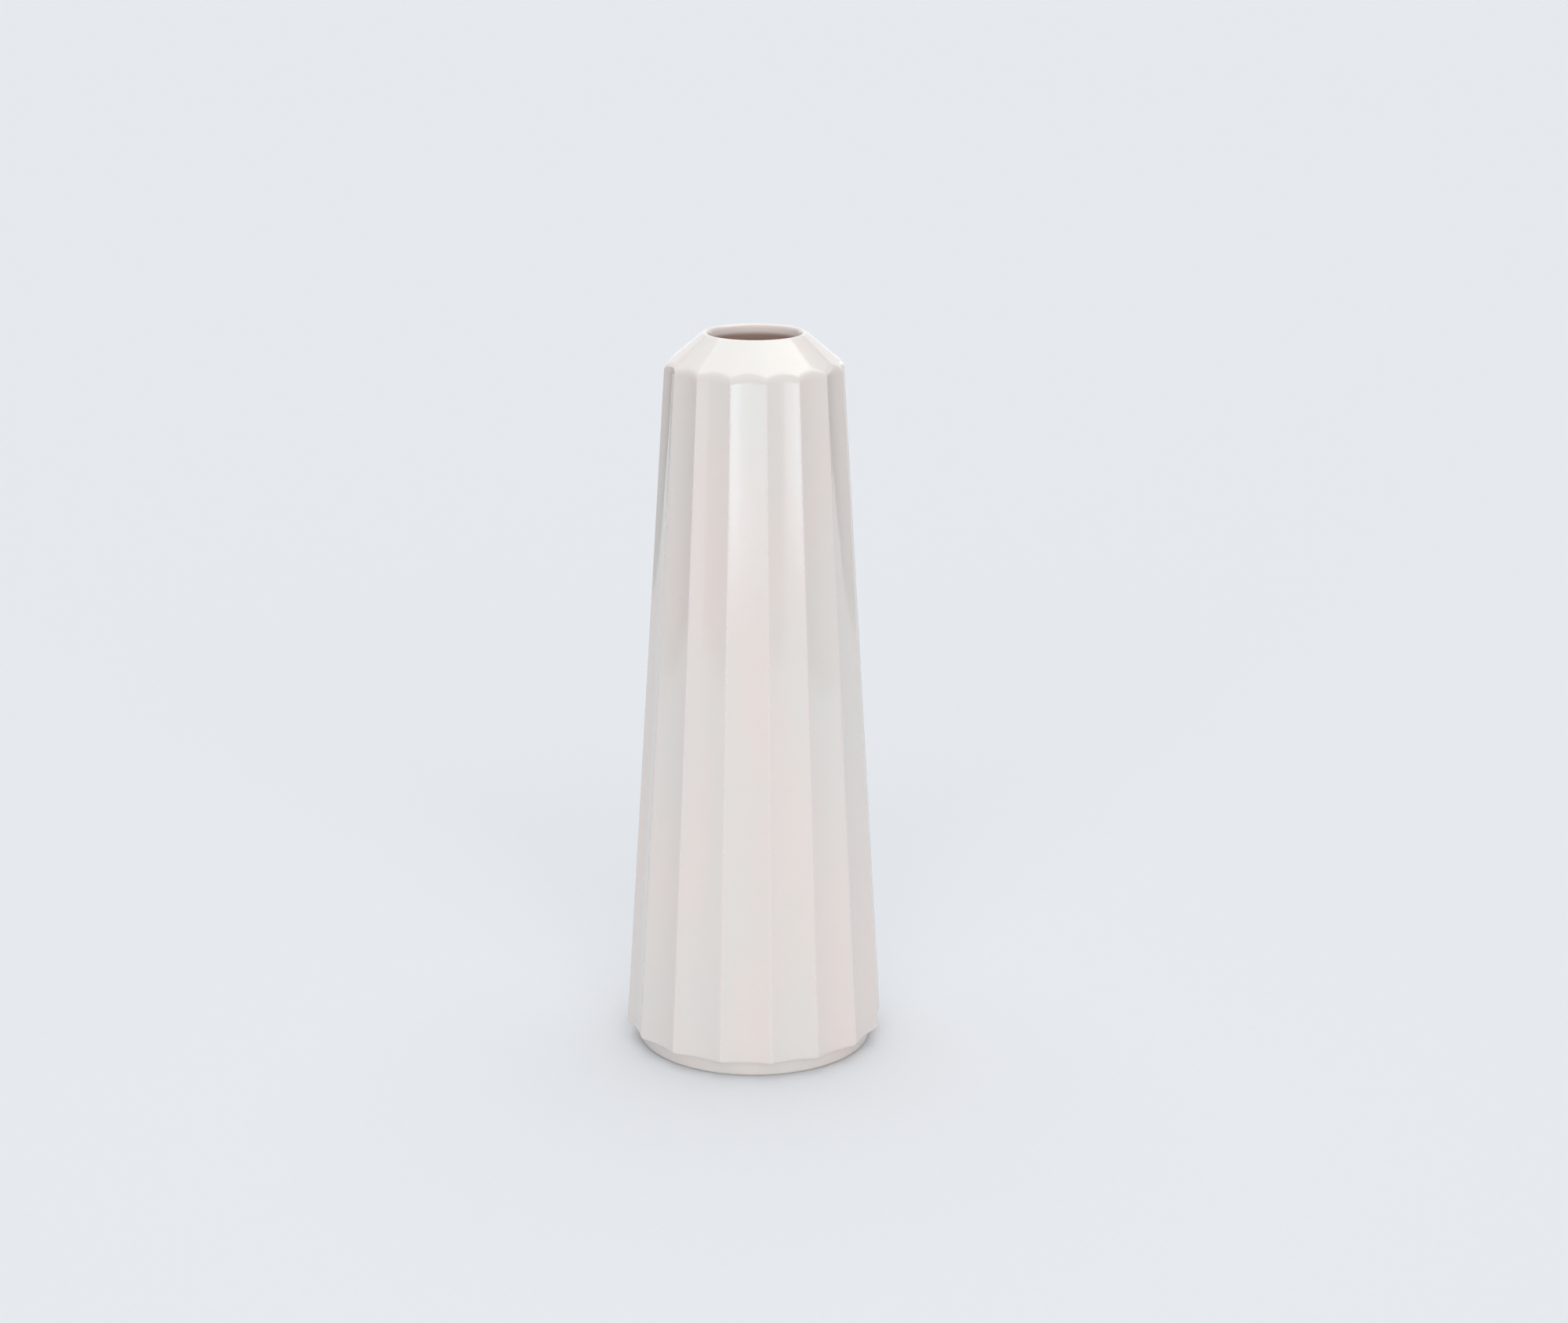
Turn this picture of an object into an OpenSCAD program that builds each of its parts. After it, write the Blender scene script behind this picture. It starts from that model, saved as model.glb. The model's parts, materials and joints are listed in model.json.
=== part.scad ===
// Ceramic bud vase: a tapered, fluted porcelain body with a conical shoulder,
// a small round mouth with a rolled lip, and a plain round foot.
// All sizes are in millimetres. +Z is up, the origin is the centre of the foot
// on the table, and one flute faces -Y.

/* [Body] */
// height from the table to the crest of the lip
height = 180; // [150:1:220]
// radius over the ridges at the bottom of the fluted wall
skirt_r = 32.6; // [30:0.1:40]
// radius over the ridges where the wall would meet the shoulder in a sharp corner
shoulder_r = 21.9; // [19:0.1:28]
// slope of the shoulder above the horizontal, in degrees
shoulder_slope = 40; // [32:1:50]
// radius of the bend from wall to shoulder
shoulder_round = 3.0; // [1.2:0.1:4]
// radius of the bend from wall to ledge at the tip of a ridge
skirt_round = 0.9; // [0.6:0.1:1.2]

/* [Mouth] */
// radius of the round opening
mouth_r = 10.9; // [8:0.1:13]
// radius of the roll of the lip, half of the lip's thickness
lip_round = 1.1; // [0.8:0.1:1.5]
// length of the straight throat below the roll of the lip
throat_length = 3; // [2:0.1:6]

/* [Flutes] */
// number of hollow flutes round the wall
flute_count = 16; // [14:1:24]
// depth of a flute as a share of the radius over the ridges
flute_depth = 0.04; // [0.03:0.005:0.05]
// width of the soft top left on each ridge at the bottom of the wall
ridge_width = 0.8; // [0.6:0.1:1.4]

/* [Foot] */
// height of the foot below the scalloped ledge
foot_height = 4.1; // [3:0.1:7]
// how far the foot is set in from the ridges
foot_step = 3.4; // [2.8:0.1:6]
// width of the bare ring that touches the table
ring_width = 3.4; // [2.4:0.1:5]
// depth of the hollow under the base
recess_depth = 1.6; // [1:0.1:2.4]

/* [Walls] */
// wall thickness at the deepest line of a flute, glaze on both sides included
wall = 3.2; // [2.6:0.1:4.2]
// height of the inner floor above the table
floor_height = 6.4; // [5.4:0.1:9]
// thickness of the glaze
glaze = 0.35; // [0.25:0.05:0.5]
// height above the table at which the outer glaze is wiped off
glaze_end = 0.4; // [0.4:0.1:1.2]

/* [Hidden] */
$fn = 96;
arc_steps = 6;
foot_bevel = 0.3;
foot_r = skirt_r - foot_step;
crest_r = mouth_r + lip_round;
lip_z = height - lip_round;
throat_z = lip_z - throat_length;
floor_bend = 6;
inner_bend = 4;
recess_draft = 0.5;
ring_inner_r = foot_r - glaze - ring_width;

// The sharp corner of the shoulder lies where the straight shoulder, tangent to
// the roll of the lip, comes down to the shoulder radius.
corner_z = lip_z + lip_round / cos(shoulder_slope)
    - (shoulder_r - crest_r) * tan(shoulder_slope);

// The wall over the ridges is a cone. Every flute is cut by a slanted cone that
// comes to its tip at the same height, a little towards its own flute, so that
// the ridges stay as wide at the top as at the bottom.
wall_lean = atan((skirt_r - shoulder_r) / (corner_z - foot_height));
tip_z = foot_height + skirt_r / tan(wall_lean);
tip_shift = 0.25;

// A flute's cone passes through the edges of its two ridges and, between them,
// through the flute's deepest line.
flute_half = 180 / flute_count - (ridge_width / 2) / skirt_r * 180 / PI;
drop = tip_z - foot_height;
edge_out = (skirt_r * cos(flute_half) - tip_shift) / drop;
edge_side = skirt_r * sin(flute_half) / drop;
edge_length = sqrt(1 + edge_out * edge_out + edge_side * edge_side);
deep_lean = atan((skirt_r * (1 - flute_depth) - tip_shift) / drop);
cutter_lean = atan((cos(deep_lean) - 1 / edge_length)
    / (edge_out / edge_length - sin(deep_lean)));
cutter_half = cutter_lean - deep_lean;
cutter_spare = 12;

// A direction in the half-section, as radius and height.
function way(angle) = [cos(angle), sin(angle)];

// Points along an arc, in the half-section.
function arc(centre, r, from, to) =
    [for (i = [0 : arc_steps]) centre + r * way(from + (to - from) * i / arc_steps)];

// The centre of a bend of radius r in a corner whose two faces look along the given angles.
function bend(corner, r, first, second) =
    corner - r * (way(first) + way(second)) / (1 + cos(second - first));

// The outside above the foot, from the ledge to the crest of the lip, with every
// face moved inwards by inset.
function outside(inset) = concat(
    [[foot_r - inset, foot_height + inset]],
    arc(bend([skirt_r, foot_height], skirt_round, -90, wall_lean),
        skirt_round - inset, -90, wall_lean),
    arc(bend([shoulder_r, corner_z], shoulder_round, wall_lean, 90 - shoulder_slope),
        shoulder_round - inset, wall_lean, 90 - shoulder_slope),
    arc([crest_r, lip_z], lip_round - inset, 90 - shoulder_slope, 90));

// Where the inner wall, deepened by depth, meets a height z.
function inner_r(z, depth) =
    tip_shift + (tip_z - z) * tan(deep_lean) - wall + depth / cos(deep_lean);

// The height of the corner between the inner shoulder and the inner wall.
inner_corner_z = (throat_z * cos(shoulder_slope)
        - (tip_shift + tip_z * tan(deep_lean) - wall - mouth_r) * sin(shoulder_slope))
    / (cos(shoulder_slope) - tan(deep_lean) * sin(shoulder_slope));

// The inside, from the crest of the lip to the middle of the floor, with every
// face moved into the wall by depth.
function inside(depth) = concat(
    arc([crest_r, lip_z], lip_round - depth, 90, 180),
    [[mouth_r + depth, throat_z + depth * (1 - sin(shoulder_slope)) / cos(shoulder_slope)]],
    arc(bend([inner_r(inner_corner_z, 0), inner_corner_z],
            inner_bend, deep_lean, 90 - shoulder_slope),
        inner_bend + depth, 90 - shoulder_slope, deep_lean),
    arc(bend([inner_r(floor_height, 0), floor_height], floor_bend, -90, deep_lean),
        floor_bend + depth, deep_lean, -90),
    [[0, floor_height - depth]]);

function reversed(list) = [for (i = [len(list) - 1 : -1 : 0]) list[i]];

// The cones that hollow out the flutes, made thicker all over by grow.
module flute_cutters(grow) {
    near = (tip_z - height - cutter_spare) / cos(cutter_lean);
    far = (tip_z + cutter_spare) / cos(cutter_lean);
    back = grow / sin(cutter_half);
    for (i = [0 : flute_count - 1])
        rotate([0, 0, i * 360 / flute_count])
            translate([0, -tip_shift, tip_z])
                rotate([180 - cutter_lean, 0, 0])
                    translate([0, 0, near])
                        cylinder(h = far - near,
                            r1 = (near + back) * tan(cutter_half),
                            r2 = (far + back) * tan(cutter_half));
}

// Fired porcelain: wall, shoulder, lip, floor and the bare foot ring.
module ceramic_body() {
    color([0.93, 0.9, 0.87])
        difference() {
            rotate_extrude()
                polygon(concat(
                    [[0, recess_depth + glaze],
                        [ring_inner_r - recess_draft, recess_depth + glaze],
                        [ring_inner_r, 0],
                        [foot_r - glaze - foot_bevel, 0],
                        [foot_r - glaze, foot_bevel]],
                    outside(glaze),
                    inside(glaze)));
            flute_cutters(glaze);
        }
}

// Glossy glaze over the whole outside, from the crest of the lip down to just
// above the bottom of the foot.
module outer_glaze() {
    color([0.9, 0.85, 0.83])
        difference() {
            rotate_extrude()
                polygon(concat(
                    [[0, 0], [foot_r, 0]],
                    outside(0),
                    [[0, height]]));
            flute_cutters(0);
            difference() {
                rotate_extrude()
                    polygon(concat(
                        [[0, -1],
                            [foot_r + 1, -1],
                            [foot_r + 1, glaze_end],
                            [foot_r - glaze, glaze_end]],
                        outside(glaze),
                        [[crest_r, height + 1], [0, height + 1]]));
                flute_cutters(glaze);
            }
        }
}

// Glaze poured inside: from the crest of the lip down the throat and over the floor.
module liner_glaze() {
    color([0.88, 0.83, 0.81])
        rotate_extrude()
            polygon(concat(inside(0), reversed(inside(glaze))));
}

// Glaze in the hollow under the base, inside the bare ring.
module base_glaze() {
    rim = ring_inner_r - recess_draft * recess_depth / (recess_depth + glaze);
    color([0.9, 0.85, 0.83])
        rotate_extrude()
            polygon([[0, recess_depth],
                [rim, recess_depth],
                [ring_inner_r - recess_draft, recess_depth + glaze],
                [0, recess_depth + glaze]]);
}

ceramic_body();
outer_glaze();
liner_glaze();
base_glaze();
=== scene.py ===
"""Ceramic bud vase: a glossy blush-white glaze over fired porcelain, on a pale studio floor."""

import json
import math

import bpy
import numpy as np
from mathutils import Matrix, Vector


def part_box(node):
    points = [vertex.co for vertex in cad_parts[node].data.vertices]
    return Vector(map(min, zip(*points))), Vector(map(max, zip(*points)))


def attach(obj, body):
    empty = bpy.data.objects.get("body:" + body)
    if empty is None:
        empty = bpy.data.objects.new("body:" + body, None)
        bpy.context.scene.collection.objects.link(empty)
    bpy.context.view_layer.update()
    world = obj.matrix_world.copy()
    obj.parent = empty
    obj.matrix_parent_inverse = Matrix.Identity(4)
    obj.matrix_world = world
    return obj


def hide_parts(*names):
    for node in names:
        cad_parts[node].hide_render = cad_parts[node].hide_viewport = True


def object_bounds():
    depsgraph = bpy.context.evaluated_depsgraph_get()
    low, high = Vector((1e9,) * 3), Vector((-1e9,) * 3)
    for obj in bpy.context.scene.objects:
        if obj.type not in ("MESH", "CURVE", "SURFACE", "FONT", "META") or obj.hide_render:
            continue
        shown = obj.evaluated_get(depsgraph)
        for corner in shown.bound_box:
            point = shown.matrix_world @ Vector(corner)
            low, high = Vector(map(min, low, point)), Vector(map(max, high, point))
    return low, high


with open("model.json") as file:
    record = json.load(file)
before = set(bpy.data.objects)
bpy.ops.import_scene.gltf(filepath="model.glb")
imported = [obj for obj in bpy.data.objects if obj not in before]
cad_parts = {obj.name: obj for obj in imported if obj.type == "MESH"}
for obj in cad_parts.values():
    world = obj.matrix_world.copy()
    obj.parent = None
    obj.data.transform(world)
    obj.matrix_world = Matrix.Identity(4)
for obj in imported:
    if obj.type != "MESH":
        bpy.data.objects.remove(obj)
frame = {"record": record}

cad_low, cad_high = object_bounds()

MM = 0.001
UP = math.pi / 2

record = frame["record"]
mouth = [m for m in record["mounts"] if m["name"] == "mouth"][0]
scene = bpy.context.scene


# ---------------------------------------------------------------- sizes, in millimetres
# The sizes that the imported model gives, then the driving sizes of the outside and the inside.
# LIP_DROP is how far down the lip's inner roll reaches, and FLUTE_DEPTH is a share of the
# radius at the ridges.

HEIGHT = cad_high[2] / MM
MOUTH_R = mouth["dims"]["r_mm"]
THROAT_LENGTH = mouth["dims"]["length_mm"]
GLAZE_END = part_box("outer_glaze")[0][2] / MM
RECESS_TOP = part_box("base_glaze")[1][2] / MM
RING_INNER_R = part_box("base_glaze")[1][0] / MM
FLOOR_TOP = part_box("liner_glaze")[0][2] / MM

GLAZE = 0.35
WALL = 3.2
SKIRT_R = 32.6
FOOT_R = 29.2
FOOT_HEIGHT = 4.1
SHOULDER_R = 21.9
SHOULDER_SLOPE = math.radians(40)
SHOULDER_ROUND = 3.0
ARCH_ROUND = 3.8
SKIRT_ROUND = 0.9
LIP_ROUND = 1.1
LIP_DROP = 2.5
THROAT_ROUND = 1.6
INNER_BEND = 4.0
FLOOR_BEND = 6.0
FLUTES = 16
FLUTE_DEPTH = 0.04

# What follows from them.
FLOOR_Z = FLOOR_TOP + GLAZE
CREST_R = MOUTH_R + LIP_ROUND
LIP_Z = HEIGHT - LIP_ROUND
THROAT_Z = LIP_Z - THROAT_LENGTH
FACING = UP - SHOULDER_SLOPE
TANGENT_R = CREST_R + LIP_ROUND * math.cos(FACING)
TANGENT_Z = LIP_Z + LIP_ROUND * math.sin(FACING)
CORNER_Z = TANGENT_Z - (SHOULDER_R - TANGENT_R) * math.tan(SHOULDER_SLOPE)
WALL_SLOPE = (SKIRT_R - SHOULDER_R) / (CORNER_Z - FOOT_HEIGHT)
TIP_Z = FOOT_HEIGHT + SKIRT_R / WALL_SLOPE

# How soft the ridges are, how near to a ridge the glaze is thin and beaded, and how far each
# ridge stands off its even place, going round from the front to the right, all in degrees.
RIDGE_SOFTNESS = 0.9
THIN_WIDTH = 1.2
BEAD_WIDTH = 0.7
RIDGE_WANDER = [0.6, -0.3, -0.4, 0.3, 0.4, -0.5, 0.2, 0.5, -0.4, 0.3, -0.5, 0.4, 0.2, -0.3, -0.2, 0.7]

# The thickness of the shown coats, the gap left between pieces, and the rounded details
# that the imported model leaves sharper.
COAT = 0.25
BASE_COAT = GLAZE * 0.8
GAP = 0.02
COVE = 0.5
MENISCUS = 0.5
RING_EDGE = 0.35
BODY_JOIN = 0.6
UNEVENNESS = 0.06

# How the mesh is divided. Flat floors end in a fan round the axis.
COLUMNS_PER_FLUTE = 26
CROWDING = 0.62
WALL_ROWS = 40
ROUND_COLUMNS = 160
LIP_STEPS = 16
FAN_R = 2.0


# ---------------------------------------------------------------- mesh helpers


def arc(centre, radius, start, end, count):
    """Points of the half-section along an arc; its centre and angles may vary round the vase."""
    points = []
    for i in range(count + 1):
        angle = start + (end - start) * i / count
        points.append((centre[0] + radius * np.cos(angle), centre[1] + radius * np.sin(angle)))
    return points


def bend(corner, radius, first, second, count):
    """Points that round off a corner between faces that look along two angles."""
    reach = radius / (1 + np.cos(second - first))
    centre = (
        corner[0] - reach * (np.cos(first) + np.cos(second)),
        corner[1] - reach * (np.sin(first) + np.sin(second)),
    )
    return arc(centre, radius, first, second, count)


def joined(*runs):
    """Runs of points in one, with as many even steps between two runs as the number there says."""
    points = list(runs[0])
    for gap, run in zip(runs[1::2], runs[2::2]):
        first = points[-1]
        last = run[0]
        for i in range(1, gap + 1):
            share = i / (gap + 1)
            radius = first[0] + (last[0] - first[0]) * share
            height = first[1] + (last[1] - first[1]) * share
            points.append((radius, height))
        points += run
    return points


def spin(section, angles):
    """A grid of points from a half-section, one row for each of its points."""
    level = np.ones_like(angles)
    radius = np.array([r * level for r, _ in section])
    height = np.array([z * level for _, z in section])
    return np.stack([radius * np.sin(angles), -radius * np.cos(angles), height], axis=-1)


def grid_normals(grid):
    """The normals of a grid, on the side that is seen."""
    around = np.roll(grid, -1, axis=1) - np.roll(grid, 1, axis=1)
    along = np.gradient(grid, axis=0)
    normal = np.cross(around, along)
    return normal / np.maximum(np.linalg.norm(normal, axis=-1, keepdims=True), 1e-9)


def ring_faces(rows, columns, first, turned):
    """The quads of a grid that closes round the axis and whose points start at number first."""
    faces = []
    for i in range(rows - 1):
        for j in range(columns):
            k = (j + 1) % columns
            low = first + i * columns
            high = low + columns
            face = [low + j, low + k, high + k, high + j]
            faces.append(face[::-1] if turned else face)
    return faces


def cap_faces(columns, first, centre, turned):
    """A fan of triangles from a grid's last row to a point on the axis."""
    faces = []
    for j in range(columns):
        face = [first + j, first + (j + 1) % columns, centre]
        faces.append(face[::-1] if turned else face)
    return faces


def rim_faces(columns, front, back, turned):
    """The quads that join a coat's front and back along one edge."""
    faces = []
    for j in range(columns):
        k = (j + 1) % columns
        face = [front + j, front + k, back + k, back + j]
        faces.append(face[::-1] if turned else face)
    return faces


def make_object(name, points, faces, normals, masks):
    """A smooth object; normals holds one vector per corner, and masks one number per point."""
    mesh = bpy.data.meshes.new(name)
    mesh.from_pydata((points * MM).tolist(), [], faces)
    mesh.polygons.foreach_set("use_smooth", [True] * len(mesh.polygons))
    for key, values in masks.items():
        layer = mesh.attributes.new(key, "FLOAT", "POINT")
        layer.data.foreach_set("value", np.asarray(values, dtype=np.float32))
    mesh.update()
    mesh.normals_split_custom_set(normals)
    thing = bpy.data.objects.new(name, mesh)
    scene.collection.objects.link(thing)
    return thing


def make_coat(name, grid, thickness, masks, edge_normals, capped=False):
    """A closed coat: the grid that is seen, the same grid set back, and a rim or cap at its ends.

    edge_normals gives the normal (radial, upward) of the first and last rows, or None.
    """
    rows, columns = grid.shape[:2]
    normals = grid_normals(grid)
    outward = np.stack([grid[:, :, 0], grid[:, :, 1], 0 * grid[:, :, 2]], axis=-1)
    outward = outward / np.maximum(np.linalg.norm(outward, axis=-1, keepdims=True), 1e-9)
    for row, facing in zip((0, rows - 1), edge_normals):
        if facing is not None:
            normals[row] = outward[row] * facing[0] + np.array([0, 0, facing[1]])
    back_grid = grid - normals * thickness
    points = np.concatenate([grid.reshape(-1, 3), back_grid.reshape(-1, 3)])
    point_normals = np.concatenate([normals.reshape(-1, 3), -normals.reshape(-1, 3)])
    marks = {key: np.tile(m.ravel(), 2) for key, m in masks.items()}

    size = rows * columns
    last = size - columns
    faces = ring_faces(rows, columns, 0, False) + ring_faces(rows, columns, size, True)
    shaded = len(faces)
    rims = rim_faces(columns, 0, size, True)
    if capped:
        tops = np.array([[0, 0, grid[-1, :, 2].mean()], [0, 0, back_grid[-1, :, 2].mean()]])
        points = np.concatenate([points, tops])
        point_normals = np.concatenate([point_normals, [normals[-1, 0], -normals[-1, 0]]])
        marks = {key: np.append(m, [m[last], m[last]]) for key, m in marks.items()}
        faces += cap_faces(columns, last, 2 * size, False)
        faces += cap_faces(columns, size + last, 2 * size + 1, True)
        shaded = len(faces)
    else:
        rims += rim_faces(columns, last, size + last, False)

    corner_normals = [point_normals[v] for face in faces[:shaded] for v in face]
    for face in rims:
        p, q, r = (points[v] for v in face[:3])
        flat = np.cross(q - p, r - p)
        flat = flat / max(np.linalg.norm(flat), 1e-9)
        corner_normals += [flat] * len(face)
    return make_object(name, points, faces + rims, corner_normals, marks)


# ---------------------------------------------------------------- the fluted outside


def flute_columns():
    """The angle of each column, and how far it is from the nearest ridge, in even degrees."""
    step = 360 / FLUTES
    angles = []
    gaps = []
    for flute in range(FLUTES):
        left = (flute - 0.5) * step + RIDGE_WANDER[flute - 1]
        right = (flute + 0.5) * step + RIDGE_WANDER[flute]
        for i in range(COLUMNS_PER_FLUTE):
            share = i / COLUMNS_PER_FLUTE
            share -= CROWDING * math.sin(2 * math.pi * share) / (2 * math.pi)
            angles.append(math.radians(left + (right - left) * share))
            gaps.append(min(share, 1 - share) * step)
    return np.array(angles), np.array(gaps)


def flute_shape(gaps):
    """The radius of the fluted wall as a share of the ridges' radius: hollows with soft ridges."""
    half = math.pi / FLUTES
    rise = math.sin(half)
    sag = math.cos(half) - (1 - FLUTE_DEPTH)
    hollow = (rise * rise + sag * sag) / (2 * sag)
    centre = 1 - FLUTE_DEPTH + hollow
    soft = np.sqrt(gaps**2 + RIDGE_SOFTNESS**2) - RIDGE_SOFTNESS * 0.25
    turn = half - np.minimum(np.radians(soft), half)
    return centre * np.cos(turn) - np.sqrt(hollow**2 - (centre * np.sin(turn)) ** 2)


def outside_section(shape):
    """The outer half-section, from the wiped edge on the foot to the crest of the lip."""
    edge = GLAZE * 0.5
    slope = WALL_SLOPE * shape
    lean = np.arctan(slope)
    softer = ARCH_ROUND + (SHOULDER_ROUND - ARCH_ROUND) * (shape - 1 + FLUTE_DEPTH) / FLUTE_DEPTH
    across = math.cos(SHOULDER_SLOPE)
    fall = math.sin(SHOULDER_SLOPE)
    corner_z = (TANGENT_Z * across - (TIP_Z * slope - TANGENT_R) * fall) / (across - slope * fall)
    corner_r = (TIP_Z - corner_z) * slope
    return joined(
        arc((FOOT_R - edge, GLAZE_END + edge), edge, -UP, 0, 5),
        4,
        arc((FOOT_R + COVE, FOOT_HEIGHT - COVE), -COVE, 0, -UP, 5),
        2,
        bend((SKIRT_R * shape, FOOT_HEIGHT), SKIRT_ROUND, -UP, lean, 9),
        WALL_ROWS,
        bend((corner_r, corner_z), softer, lean, FACING, 14),
        8,
        arc((CREST_R, LIP_Z), LIP_ROUND, FACING, UP, 9),
    )


def slow_waves(angles, heights):
    """A slow unevenness, from 0 to 1, such as hand glazing leaves."""
    waves = (
        np.sin(3 * angles + heights / 17)
        + np.sin(5 * angles - heights / 11 + 1.3)
        + np.sin(9 * angles + heights / 6.5 + 4.1)
        + np.sin(2 * angles + heights / 29 + 2.2)
    )
    return 0.5 + waves / 8


def ramp(values, low, high):
    """From 0 at low to 1 at high."""
    return np.clip((values - low) / (high - low), 0, 1)


def build_outer_coat():
    """The outer glaze, with soft ridges, arched tops and a scalloped lower edge."""
    angles, gaps = flute_columns()
    grid = spin(outside_section(flute_shape(gaps)), angles)
    heights = grid[:, :, 2]

    # The slow unevenness fades out towards the foot and the shoulder.
    on_wall = ramp(heights, FOOT_HEIGHT + 2, FOOT_HEIGHT + 10) * ramp(heights, CORNER_Z, CORNER_Z - 6)
    sink = UNEVENNESS * on_wall * slow_waves(angles[None, :], heights)
    grid = grid - grid_normals(grid) * sink[:, :, None]

    # The glaze is thin and beaded on the ridges and thin on the lip, and a little darker in the cove under
    # the ledge.
    ridge = np.exp(-((gaps / THIN_WIDTH) ** 2))[None, :] * np.ones_like(heights)
    ridge = ridge * ramp(heights, CORNER_Z + 1, CORNER_Z - 2) * ramp(heights, FOOT_HEIGHT, FOOT_HEIGHT + 1)
    bead = ridge * np.exp(-((gaps / BEAD_WIDTH) ** 2))[None, :]
    crest = ramp(heights, LIP_Z + 0.4, HEIGHT)
    radius = np.hypot(grid[:, :, 0], grid[:, :, 1])
    pool = ramp(np.abs(heights - FOOT_HEIGHT), 0.9, 0) * ramp(radius, FOOT_R + 1.4, FOOT_R)
    masks = {"thin": np.maximum(ridge, crest), "pool": pool, "bead": bead}
    return make_coat("outer_glaze_coat", grid, COAT, masks, ((0, -1), (0, 1))), grid, angles


# ---------------------------------------------------------------- the inside, the base and the body


def inside_section():
    """The inner half-section, from the crest of the lip to the floor."""
    deep = math.atan(SKIRT_R * (1 - FLUTE_DEPTH) / (TIP_Z - FOOT_HEIGHT))
    across = math.cos(SHOULDER_SLOPE)
    fall = math.sin(SHOULDER_SLOPE)
    tip_r = TIP_Z * math.tan(deep) - WALL
    top_z = (THROAT_Z * across - (tip_r - MOUTH_R) * fall) / (across - math.tan(deep) * fall)
    top_r = tip_r - top_z * math.tan(deep)
    floor_r = tip_r - FLOOR_Z * math.tan(deep)
    soft = THROAT_ROUND * math.tan(FACING / 2)
    inner_lip = []
    for i in range(LIP_STEPS + 1):
        turn = UP * i / LIP_STEPS
        inner_lip.append(
            (CREST_R - LIP_ROUND * math.sin(turn), HEIGHT - LIP_DROP * (1 - math.cos(turn)))
        )
    return joined(
        inner_lip,
        2,
        arc((MOUTH_R + THROAT_ROUND, THROAT_Z + soft), THROAT_ROUND, math.pi, math.pi + FACING, 8),
        4,
        bend((top_r, top_z), INNER_BEND, FACING, deep, 8),
        30,
        bend((floor_r, FLOOR_Z), FLOOR_BEND, deep, -UP, 10),
        6,
        [(FAN_R, FLOOR_Z)],
    )


def build_liner_coat():
    """The poured inner glaze, over the lip, throat, wall and floor."""
    angles = np.linspace(0, 2 * math.pi, ROUND_COLUMNS, endpoint=False)
    grid = spin(inside_section(), angles)
    heights = grid[:, :, 2]
    # The liner colours are painted shade inside the vase: lit marks a lighter lip, painted light, and deep
    # marks a darker throat, painted shade.
    lit = ramp(heights, LIP_Z - 1.7, LIP_Z - 0.5)
    deep = ramp(heights, LIP_Z - 0.7, LIP_Z - 1.6)
    masks = {"thin": lit, "pool": deep}
    return make_coat("liner_glaze_coat", grid, COAT, masks, ((0, 1), (0, 1)), capped=True)


def build_base_coat():
    """The glaze in the recess under the base, with a meniscus where it meets the foot ring."""
    downward = -np.linspace(0, 2 * math.pi, ROUND_COLUMNS, endpoint=False)
    under = RECESS_TOP - GLAZE
    corner = (RING_INNER_R - BASE_COAT - MENISCUS, under - MENISCUS)
    section = joined(arc(corner, MENISCUS, math.radians(8), UP, 6), 8, [(FAN_R, under)])
    grid = spin(section, downward)
    radius = np.hypot(grid[:, :, 0], grid[:, :, 1])
    # The recess glaze is a little darker towards the foot ring.
    masks = {"thin": 0 * radius, "pool": ramp(radius, RING_INNER_R - 2, RING_INNER_R)}
    return make_coat("base_glaze_coat", grid, BASE_COAT, masks, (None, (0, -1)), capped=True)


def build_body(outer_grid, angles):
    """The fired porcelain under the coats, with its bare, sanded foot ring."""
    under = RECESS_TOP + GAP
    inner_r = RING_INNER_R + GAP
    outer_r = FOOT_R - GLAZE
    foot = joined(
        [(FAN_R, under)],
        8,
        [(inner_r, under)],
        2,
        arc((inner_r + RING_EDGE, RING_EDGE), RING_EDGE, math.pi, 3 * UP, 4),
        6,
        arc((outer_r - RING_EDGE, RING_EDGE), RING_EDGE, -UP, 0, 5),
        2,
        [(outer_r, GLAZE_END + BODY_JOIN)],
    )
    set_back = COAT + GAP
    outer_back = outer_grid - grid_normals(outer_grid) * set_back
    rise = outer_back[:, 0, 2] > GLAZE_END + BODY_JOIN + 0.2
    inner_grid = spin(inside_section(), angles)
    inner_back = inner_grid - grid_normals(inner_grid) * set_back
    grid = np.concatenate([spin(foot, angles), outer_back[rise][:-1], inner_back[1:]])
    rows, columns = grid.shape[:2]
    normals = grid_normals(grid).reshape(-1, 3)
    last = (rows - 1) * columns
    tops = np.array([[0, 0, grid[0, 0, 2]], [0, 0, grid[-1, 0, 2]]])
    points = np.concatenate([grid.reshape(-1, 3), tops])
    normals = np.concatenate([normals, [[0, 0, -1], [0, 0, 1]]])
    faces = ring_faces(rows, columns, 0, False)
    faces += cap_faces(columns, 0, last + columns, True)
    faces += cap_faces(columns, last, last + columns + 1, False)
    corner_normals = [normals[v] for face in faces for v in face]
    return make_object("porcelain_body", points, faces, corner_normals, {})


outer_coat, outer_grid, outer_angles = build_outer_coat()
body = build_body(outer_grid, outer_angles)
liner_coat = build_liner_coat()
base_coat = build_base_coat()


# ---------------------------------------------------------------- material helpers


def new_material(name):
    """A node material with a Principled shader."""
    material = bpy.data.materials.new(name)
    material.use_nodes = True
    nodes = material.node_tree.nodes
    return material, nodes, material.node_tree.links, nodes["Principled BSDF"]


def add(nodes, kind, **settings):
    """A node of a kind, with its settings."""
    node = nodes.new(kind)
    for key, value in settings.items():
        setattr(node, key, value)
    return node


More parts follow.
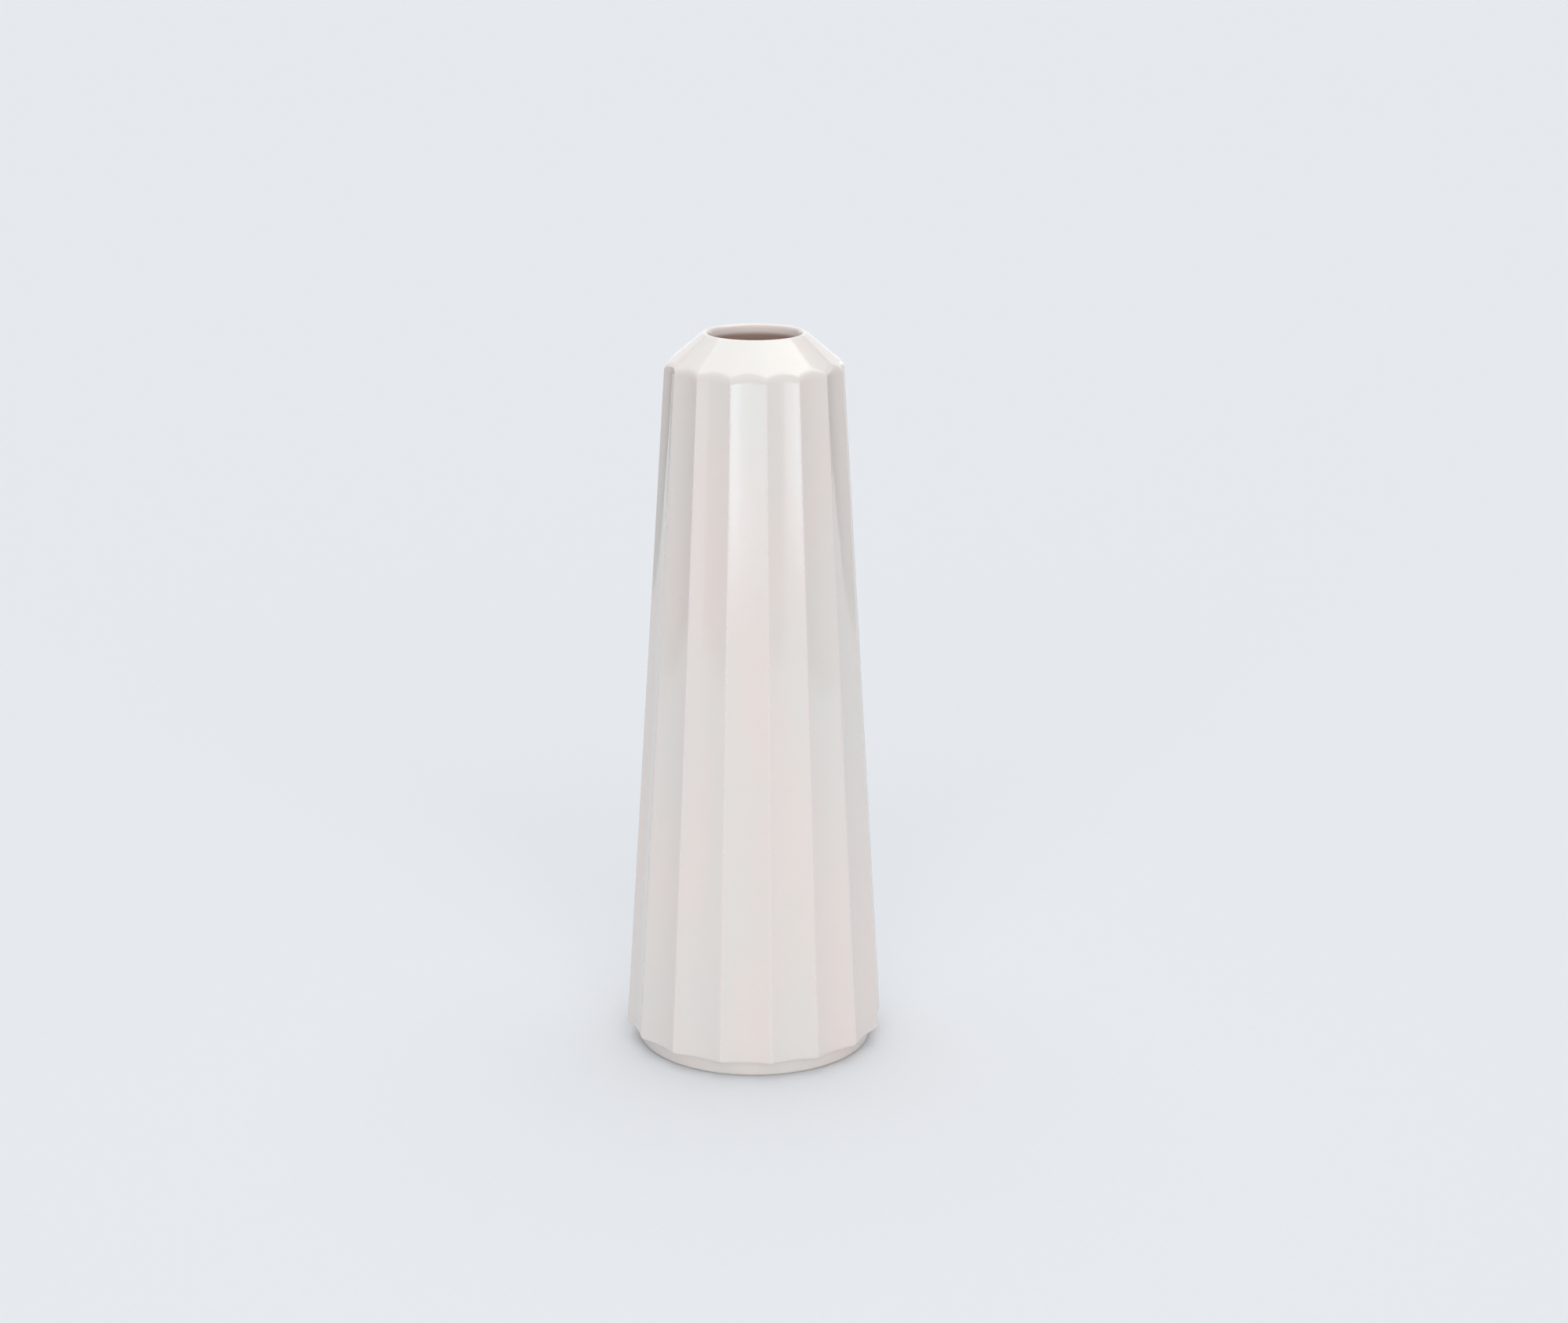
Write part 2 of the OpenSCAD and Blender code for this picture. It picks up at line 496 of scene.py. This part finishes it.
def noise(nodes, links, place, scale, detail=2.0, stretch=(1, 1, 1)):
    """A noise texture over the object's own coordinates, in features per metre."""
    mapping = add(nodes, "ShaderNodeMapping")
    mapping.inputs["Scale"].default_value = stretch
    links.new(place.outputs["Object"], mapping.inputs["Vector"])
    texture = add(nodes, "ShaderNodeTexNoise")
    texture.inputs["Scale"].default_value = scale
    texture.inputs["Detail"].default_value = detail
    links.new(mapping.outputs["Vector"], texture.inputs["Vector"])
    return texture.outputs["Fac"]


def map_range(nodes, links, value, source, target):
    """A value carried from one range to another, clamped."""
    node = add(nodes, "ShaderNodeMapRange")
    links.new(value, node.inputs["Value"])
    node.inputs["From Min"].default_value = source[0]
    node.inputs["From Max"].default_value = source[1]
    node.inputs["To Min"].default_value = target[0]
    node.inputs["To Max"].default_value = target[1]
    return node.outputs["Result"]


def math_node(nodes, links, operation, first, second):
    """Arithmetic on two values, each a socket or a number."""
    node = add(nodes, "ShaderNodeMath", operation=operation)
    for i, value in enumerate((first, second)):
        if isinstance(value, (int, float)):
            node.inputs[i].default_value = value
        else:
            links.new(value, node.inputs[i])
    return node.outputs["Value"]


def mix_colour(nodes, links, factor, first, second):
    """One colour over another, each a socket or four numbers."""
    node = add(nodes, "ShaderNodeMix", data_type="RGBA")
    links.new(factor, node.inputs["Factor"])
    for key, value in (("A", first), ("B", second)):
        socket = [s for s in node.inputs if s.name == key and s.type == "RGBA"][0]
        if isinstance(value, tuple):
            socket.default_value = value
        else:
            links.new(value, socket)
    return [s for s in node.outputs if s.type == "RGBA"][0]


def mask(nodes, name):
    """A number stored on the mesh."""
    return add(nodes, "ShaderNodeAttribute", attribute_name=name).outputs["Fac"]


def bump(nodes, links, height, distance, under=None, strength=1.0):
    """The normal of a relief that is a distance in metres high, on top of another one if given."""
    node = add(nodes, "ShaderNodeBump")
    node.inputs["Strength"].default_value = strength
    node.inputs["Distance"].default_value = distance
    links.new(height, node.inputs["Height"])
    if under is not None:
        links.new(under, node.inputs["Normal"])
    return node.outputs["Normal"]


# ---------------------------------------------------------------- materials


# Colours of the glaze: even, thin on crests and ridges, and a little darker in corners; the
# lighter bead colour is a painted glint. Inside the vase the glaze is darkened as painted shade,
# lighter on the lip as painted light, and darker still in the throat as painted shade.
BLUSH = (0.865, 0.80, 0.762, 1)
BLUSH_THIN = (0.865, 0.785, 0.75, 1)
BLUSH_DARKENED = (0.85, 0.79, 0.755, 1)
BEADS_PAINTED_GLINT = (0.90, 0.85, 0.82, 1)
LINER_PAINTED_SHADE = (0.74, 0.60, 0.53, 1)
LINER_LIP_PAINTED_LIGHT = (0.91, 0.81, 0.77, 1)
LINER_THROAT_PAINTED_SHADE = (0.48, 0.33, 0.27, 1)
BASE_DARKENED = (0.80, 0.765, 0.735, 1)

# Colours of the bare porcelain.
PORCELAIN_DARK = (0.78, 0.735, 0.69, 1)
PORCELAIN_LIGHT = (0.86, 0.82, 0.78, 1)
SPECK = (0.42, 0.34, 0.28, 1)

# The glaze's refractive index, and the height of each relief in metres.
GLAZE_IOR = 1.52
PEEL_RELIEF = 0.00003
BEAD_RELIEF = 0.0001
GRAIN_RELIEF = 0.00003


def glaze_material(name, main, thin, darkened_colour, roughness):
    """A glossy glaze: tinted in slow drifts, thin on the crests, and darker where a mask says."""
    material, nodes, links, shader = new_material(name)
    place = add(nodes, "ShaderNodeTexCoord")
    cool = (main[0] * 0.965, main[1], main[2], 1)
    warm = (main[0] * 1.02, main[1] * 0.99, main[2] * 0.985, 1)

    drift = noise(nodes, links, place, scale=55, stretch=(1, 1, 0.28))
    colour = mix_colour(nodes, links, map_range(nodes, links, drift, (0.36, 0.64), (0, 1)), cool, warm)
    cloud = noise(nodes, links, place, scale=420, detail=3.0)
    faint = (main[0] * 0.97, main[1] * 0.97, main[2] * 0.97, 1)
    colour = mix_colour(nodes, links, map_range(nodes, links, cloud, (0.55, 0.8), (0, 0.5)), colour, faint)
    # On the liner, these two mixes paint light on the lip and shade in the throat.
    colour = mix_colour(nodes, links, mask(nodes, "thin"), colour, thin)
    colour = mix_colour(nodes, links, mask(nodes, "pool"), colour, darkened_colour)
    fine = noise(nodes, links, place, scale=1250, detail=1.0)
    pits = map_range(nodes, links, fine, (0.35, 0.7), (0, 1))
    bead = math_node(nodes, links, "MULTIPLY", pits, mask(nodes, "bead"))
    # The lighter bead colour is a painted glint; the bump below gives the beads their relief.
    colour = mix_colour(nodes, links, bead, colour, BEADS_PAINTED_GLINT)
    links.new(colour, shader.inputs["Base Color"])

    rough = map_range(nodes, links, cloud, (0.3, 0.7), (roughness * 0.8, roughness * 1.3))
    links.new(rough, shader.inputs["Roughness"])
    shader.inputs["IOR"].default_value = GLAZE_IOR

    peel = noise(nodes, links, place, scale=260, detail=1.0, stretch=(1, 1, 0.7))
    swell = bump(nodes, links, peel, PEEL_RELIEF)
    links.new(bump(nodes, links, bead, BEAD_RELIEF, swell), shader.inputs["Normal"])
    return material


def porcelain_material():
    """Bare fired porcelain: matte, with a fine sanded grain and a few dark specks."""
    material, nodes, links, shader = new_material("bare_porcelain")
    place = add(nodes, "ShaderNodeTexCoord")
    grain = noise(nodes, links, place, scale=2600, detail=3.0)
    shade = map_range(nodes, links, grain, (0.35, 0.65), (0, 1))
    colour = mix_colour(nodes, links, shade, PORCELAIN_DARK, PORCELAIN_LIGHT)
    specks = noise(nodes, links, place, scale=5200, detail=1.0)
    spots = map_range(nodes, links, specks, (0.74, 0.8), (0, 0.6))
    colour = mix_colour(nodes, links, spots, colour, SPECK)
    links.new(colour, shader.inputs["Base Color"])
    links.new(map_range(nodes, links, grain, (0.3, 0.7), (0.62, 0.82)), shader.inputs["Roughness"])
    links.new(bump(nodes, links, grain, GRAIN_RELIEF, strength=0.8), shader.inputs["Normal"])
    return material


outer_glaze = glaze_material("blush_glaze", BLUSH, BLUSH_THIN, BLUSH_DARKENED, roughness=0.07)
# The liner colours paint shade inside the vase and light on its lip.
inner_glaze = glaze_material("liner_glaze", LINER_PAINTED_SHADE, LINER_LIP_PAINTED_LIGHT, LINER_THROAT_PAINTED_SHADE, roughness=0.12)
under_glaze = glaze_material("base_glaze", BLUSH, BLUSH, BASE_DARKENED, roughness=0.12)
outer_coat.data.materials.append(outer_glaze)
liner_coat.data.materials.append(inner_glaze)
base_coat.data.materials.append(under_glaze)
body.data.materials.append(porcelain_material())


# ---------------------------------------------------------------- stage, lights and camera


PAPER_DARK = (0.842, 0.862, 0.892, 1)
PAPER_LIGHT = (0.862, 0.882, 0.912, 1)
FILL = (0.97, 0.985, 1.0, 1)
BACKDROP = (0.80, 0.815, 0.845, 1)
FLAG = (0.1, 0.1, 0.1, 1)


def build_floor():
    """A large, flat, pale floor with a faint paper grain."""
    half = 6.0
    corners = [(-half, -half, 0), (half, -half, 0), (half, half, 0), (-half, half, 0)]
    mesh = bpy.data.meshes.new("studio_floor")
    mesh.from_pydata(corners, [], [[0, 1, 2, 3]])
    floor = bpy.data.objects.new("studio_floor", mesh)
    scene.collection.objects.link(floor)
    material, nodes, links, shader = new_material("pale_paper")
    place = add(nodes, "ShaderNodeTexCoord")
    grain = noise(nodes, links, place, scale=900)
    colour = mix_colour(nodes, links, grain, PAPER_DARK, PAPER_LIGHT)
    links.new(colour, shader.inputs["Base Color"])
    shader.inputs["Roughness"].default_value = 0.95
    shader.inputs["Specular IOR Level"].default_value = 0.0
    mesh.materials.append(material)


def build_world():
    """Even fill from all round; the camera sees the same pale tone as the floor."""
    world = bpy.data.worlds.new("studio")
    scene.world = world
    world.use_nodes = True
    nodes = world.node_tree.nodes
    links = world.node_tree.links
    background = nodes["Background"]
    background.inputs["Color"].default_value = FILL
    place = add(nodes, "ShaderNodeTexCoord")
    split = add(nodes, "ShaderNodeSeparateXYZ")
    links.new(place.outputs["Generated"], split.inputs["Vector"])
    # The fill is dim at the horizon and brightest straight up.
    strength = map_range(nodes, links, split.outputs["Z"], (0, 1), (0.14, 0.80))
    links.new(strength, background.inputs["Strength"])
    seen = add(nodes, "ShaderNodeBackground")
    seen.inputs["Color"].default_value = BACKDROP
    path = add(nodes, "ShaderNodeLightPath")
    choice = add(nodes, "ShaderNodeMixShader")
    links.new(path.outputs["Is Camera Ray"], choice.inputs["Fac"])
    links.new(background.outputs["Background"], choice.inputs[1])
    links.new(seen.outputs["Background"], choice.inputs[2])
    links.new(choice.outputs["Shader"], nodes["World Output"].inputs["Surface"])


def aim(thing, place, target):
    """Puts a light in place, facing its target."""
    thing.location = place
    away = thing.location - Vector(target)
    thing.rotation_euler = away.to_track_quat("Z", "Y").to_euler()


def add_sun(name, strength, spread, place):
    """A soft sun for matte light only, spread over degrees, shining from a place to the origin."""
    lamp = bpy.data.lights.new(name, "SUN")
    lamp.energy = strength
    lamp.angle = math.radians(spread)
    thing = bpy.data.objects.new(name, lamp)
    scene.collection.objects.link(thing)
    thing.visible_glossy = False
    aim(thing, place, (0, 0, 0))


EVEN = ((0.0, 1.0), (1.0, 1.0))


def graded(nodes, links, share, grade):
    """Brightness along one side of a panel, from pairs of (share of the side, brightness)."""
    node = add(nodes, "ShaderNodeValToRGB")
    node.color_ramp.interpolation = "EASE"
    points = node.color_ramp.elements
    points.remove(points[-1])
    points[0].position, level = grade[0]
    points[0].color = (level, level, level, 1)
    for place, level in grade[1:]:
        points.new(place).color = (level, level, level, 1)
    links.new(share, node.inputs["Fac"])
    return node.outputs["Color"]


def add_panel(name, width, height, colour, place, target, across=EVEN, upward=EVEN):
    """A panel seen only as a reflection, where it looks as bright as its colour says.

    across and upward grade the brightness along the width and the height.
    """
    lamp = bpy.data.lights.new(name, "AREA")
    lamp.shape = "RECTANGLE"
    lamp.size = width
    lamp.size_y = height
    lamp.energy = width * height * math.pi
    lamp.color = colour
    lamp.use_nodes = True
    nodes = lamp.node_tree.nodes
    links = lamp.node_tree.links
    split = add(nodes, "ShaderNodeSeparateXYZ")
    links.new(add(nodes, "ShaderNodeNewGeometry").outputs["Parametric"], split.inputs["Vector"])
    level_across = graded(nodes, links, split.outputs["X"], across)
    level_upward = graded(nodes, links, split.outputs["Y"], upward)
    level = math_node(nodes, links, "MULTIPLY", level_across, level_upward)
    links.new(level, nodes["Emission"].inputs["Strength"])
    thing = bpy.data.objects.new(name, lamp)
    scene.collection.objects.link(thing)
    thing.visible_diffuse = False
    thing.visible_camera = False
    aim(thing, place, target)


def add_flag(name, across):
    """A dark flag beside the set, seen only in the glaze."""
    near = -0.55
    far = 0.9
    bottom = 0.001
    top = 0.25
    corners = [(across, near, bottom), (across, far, bottom), (across, far, top), (across, near, top)]
    mesh = bpy.data.meshes.new(name)
    mesh.from_pydata(corners, [], [[0, 1, 2, 3]])
    flag = bpy.data.objects.new(name, mesh)
    scene.collection.objects.link(flag)
    material, _, _, shader = new_material(name)
    shader.inputs["Base Color"].default_value = FLAG
    shader.inputs["Roughness"].default_value = 1.0
    mesh.materials.append(material)
    flag.visible_camera = False
    flag.visible_diffuse = False
    flag.visible_shadow = False


# Brightness along the sides of the panels, as (share of the side, brightness): across from
# left to right as the camera sees the set, and upward from the near or lower edge.
SOFTBOX_ACROSS = ((0.0, 0.5), (0.12, 0.55), (0.28, 1.0), (0.5, 1.0), (0.65, 0.75), (1.0, 0.5))
SOFTBOX_UPWARD = ((0.0, 0.0), (0.1, 1.0), (0.9, 1.0), (1.0, 0.0))
CEILING_ACROSS = ((0.0, 0.3), (0.25, 0.35), (0.42, 0.8), (0.5, 1.0), (0.6, 0.85), (0.8, 0.6), (1.0, 0.5))
CEILING_UPWARD = ((0.0, 0.2), (0.3, 1.0), (0.7, 1.0), (1.0, 0.2))
WINDOW_ACROSS = (
    (0.0, 0.0),
    (0.03, 0.42),
    (0.3, 0.38),
    (0.45, 0.5),
    (0.58, 1.0),
    (0.7, 1.0),
    (0.8, 0.5),
    (0.98, 0.34),
    (1.0, 0.0),
)
WINDOW_UPWARD = ((0.0, 0.2), (0.1, 0.55), (0.18, 0.85), (0.28, 1.0), (1.0, 1.0))

# Brightness of each panel as red, green and blue.
SOFTBOX_GLOW = (2.1, 2.4, 2.3)
CARD_GLOW = (0.9, 0.95, 0.95)
CEILING_GLOW = (1.1, 1.4, 1.4)
WINDOW_GLOW = (2.4, 3.3, 3.6)


def build_lights():
    """Soft light from above, a softbox overhead, a cool window in front and dark flags beside."""
    add_sun("ceiling_glow", strength=0.80, spread=60, place=(0, 0.25, 1))
    add_sun("front_fill", strength=1.10, spread=60, place=(0.14, -1, 0.35))

    above = HEIGHT * MM + 1.0
    place = (0.25, 0.13, above)
    target = (0.25, 0.13, 0)
    add_panel("overhead_softbox", 2.0, 1.1, SOFTBOX_GLOW, place, target, SOFTBOX_ACROSS, SOFTBOX_UPWARD)
    place = (0, 1.12, above + 0.02)
    target = (0, 1.12, 0)
    add_panel("pale_ceiling", 4.0, 2.4, CEILING_GLOW, place, target, CEILING_ACROSS, CEILING_UPWARD)
    add_panel("back_card", 5.0, 1.3, CARD_GLOW, (0, 2.4, 0.65), (0, 0, 0.65))
    place = (0.0975, -0.86, 0.125)
    target = (0.0975, 0, 0.125)
    add_panel("front_window", 1.135, 0.25, WINDOW_GLOW, place, target, WINDOW_ACROSS, WINDOW_UPWARD)

    add_flag("left_flag", -0.5)
    add_flag("right_flag", 0.5)


def build_camera():
    """The view: a long lens from a little above the lip, looking slightly down."""
    distance = 0.7192
    height = 0.3012
    side = math.radians(4.45)
    turn = math.radians(0.58)
    down = math.radians(15.78)
    tilt = math.radians(0.17)
    data = bpy.data.cameras.new("camera")
    data.lens = 69.5
    data.sensor_width = 36
    data.clip_start = 0.01
    data.clip_end = 50
    camera = bpy.data.objects.new("camera", data)
    scene.collection.objects.link(camera)
    place = Matrix.Translation((distance * math.sin(side), -distance * math.cos(side), height))
    heading = Matrix.Rotation(side - turn, 4, "Z")
    pitch = Matrix.Rotation(UP - down, 4, "X")
    roll = Matrix.Rotation(tilt, 4, "Z")
    camera.matrix_world = place @ heading @ pitch @ roll
    scene.camera = camera


build_floor()
build_world()
build_lights()
build_camera()
scene.view_settings.view_transform = "Standard"
scene.view_settings.look = "None"


# ---------------------------------------------------------------- what each piece stands for

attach(body, "root")
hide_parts("ceramic_body")
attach(outer_coat, "root")
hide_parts("outer_glaze")
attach(liner_coat, "root")
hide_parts("liner_glaze")
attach(base_coat, "root")
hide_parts("base_glaze")
